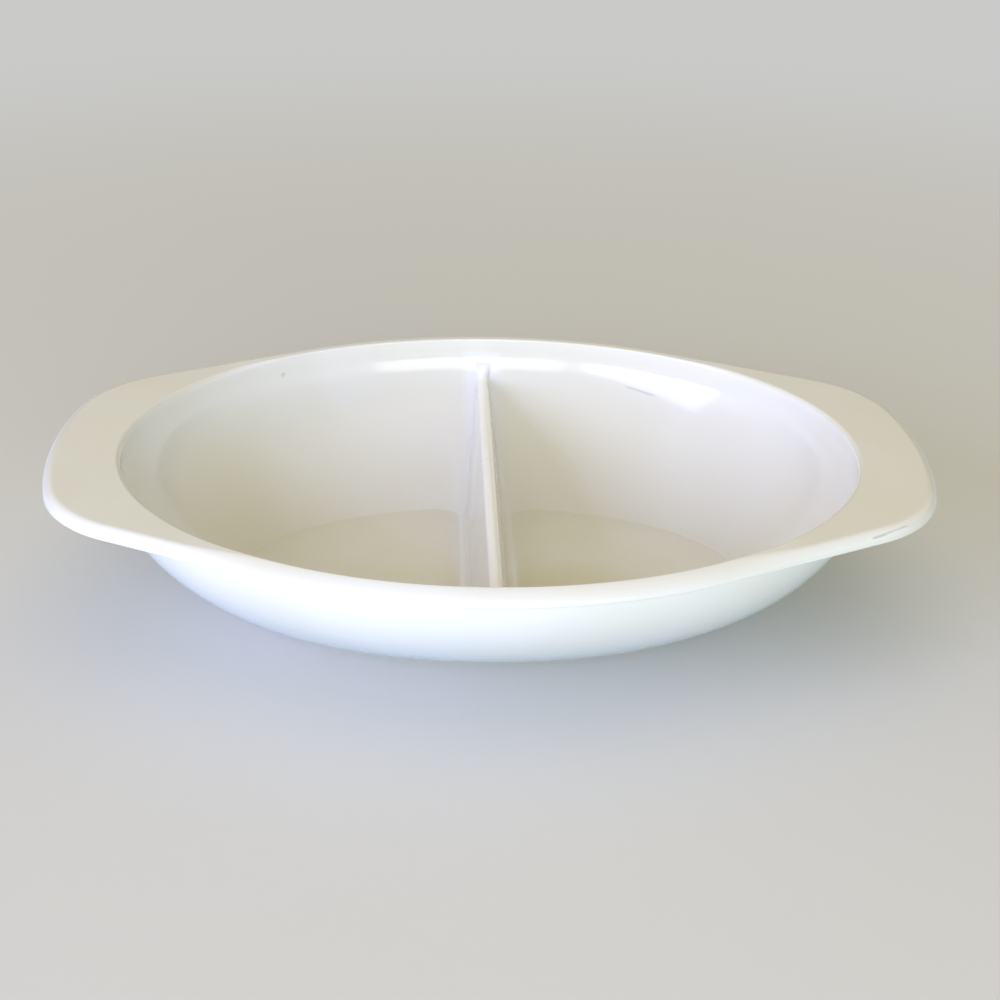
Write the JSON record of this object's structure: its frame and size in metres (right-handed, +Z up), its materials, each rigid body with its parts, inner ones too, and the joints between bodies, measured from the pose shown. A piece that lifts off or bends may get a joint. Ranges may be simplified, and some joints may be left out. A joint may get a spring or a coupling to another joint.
{
  "type": "divided serving bowl",
  "caption": "Oval serving bowl with a crosswise divider, a rolled rim, a tab handle at each end, and a low standing ring.",
  "frame": {"origin": "on the table surface, under the middle of the bowl", "axes": "+X along the long axis, towards the right handle as seen from the front; -Y towards the front; +Z up"},
  "size_m": [0.28, 0.2018, 0.05],
  "materials": {
    "bowl_body": "glossy off-white melamine, cool white in the light and warm ivory in the shade"
  },
  "bodies": {
    "root": {"basin_wall": "bowl_body", "basin_floor": "bowl_body", "foot_ring": "bowl_body", "divider": "bowl_body", "front_rim": "bowl_body", "back_rim": "bowl_body", "left_handle": "bowl_body", "right_handle": "bowl_body"}
  },
  "joints": []
}
